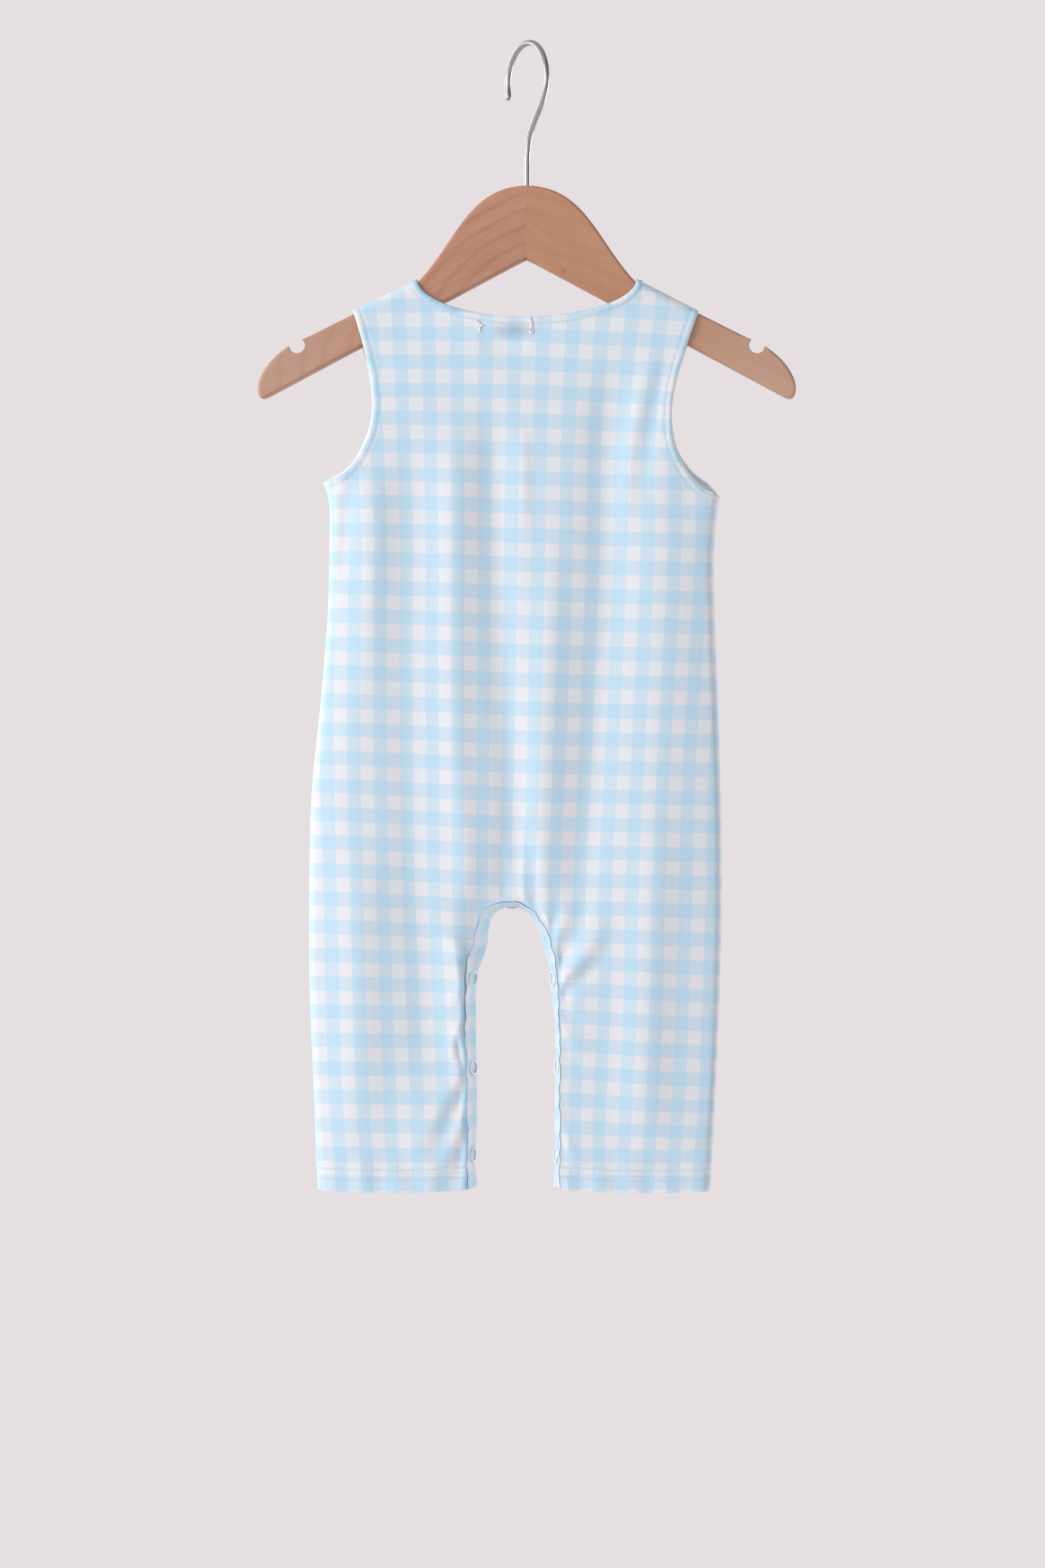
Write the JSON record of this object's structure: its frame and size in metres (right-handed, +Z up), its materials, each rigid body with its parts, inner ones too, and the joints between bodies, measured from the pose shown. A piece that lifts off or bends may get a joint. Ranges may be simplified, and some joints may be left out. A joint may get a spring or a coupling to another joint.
{
  "type": "baby sleeveless long-leg romper on a wooden hanger",
  "caption": "Sleeveless one-piece baby romper in checked knit, with long legs and a snapped inseam, hanging flat on a small notched wooden hanger with a wire hook.",
  "frame": {"origin": "underside of the hook's bend, where a rail bears", "axes": "+Z up; X along the hanger; -Y towards the garment's back, +Y towards its front"},
  "size_m": [0.312, 0.0422, 0.6664],
  "materials": {
    "gingham": "soft cotton knit, pale blue and white check",
    "snap": "white enamel, satin",
    "wood": "clear satin lacquer",
    "steel": "satin wire"
  },
  "bodies": {
    "root": {"back_panel": "gingham", "front_panel": "gingham", "front_placket": "gingham", "back_placket": "gingham", "snap_left_hem_ring": "snap", "snap_left_hem_socket": "snap", "snap_left_hem_stud": "snap", "snap_left_hem_inner_ring": "snap", "snap_left_knee_ring": "snap", "snap_left_knee_socket": "snap", "snap_left_knee_stud": "snap", "snap_left_knee_inner_ring": "snap", "snap_left_thigh_ring": "snap", "snap_left_thigh_socket": "snap", "snap_left_thigh_stud": "snap", "snap_left_thigh_inner_ring": "snap", "snap_crotch_ring": "snap", "snap_crotch_socket": "snap", "snap_crotch_stud": "snap", "snap_crotch_inner_ring": "snap", "snap_right_thigh_ring": "snap", "snap_right_thigh_socket": "snap", "snap_right_thigh_stud": "snap", "snap_right_thigh_inner_ring": "snap", "snap_right_knee_ring": "snap", "snap_right_knee_socket": "snap", "snap_right_knee_stud": "snap", "snap_right_knee_inner_ring": "snap", "snap_right_hem_ring": "snap", "snap_right_hem_socket": "snap", "snap_right_hem_stud": "snap", "snap_right_hem_inner_ring": "snap", "hanger_arm_left": "wood", "hanger_arm_right": "wood", "hanger_hook": "steel"}
  },
  "joints": []
}
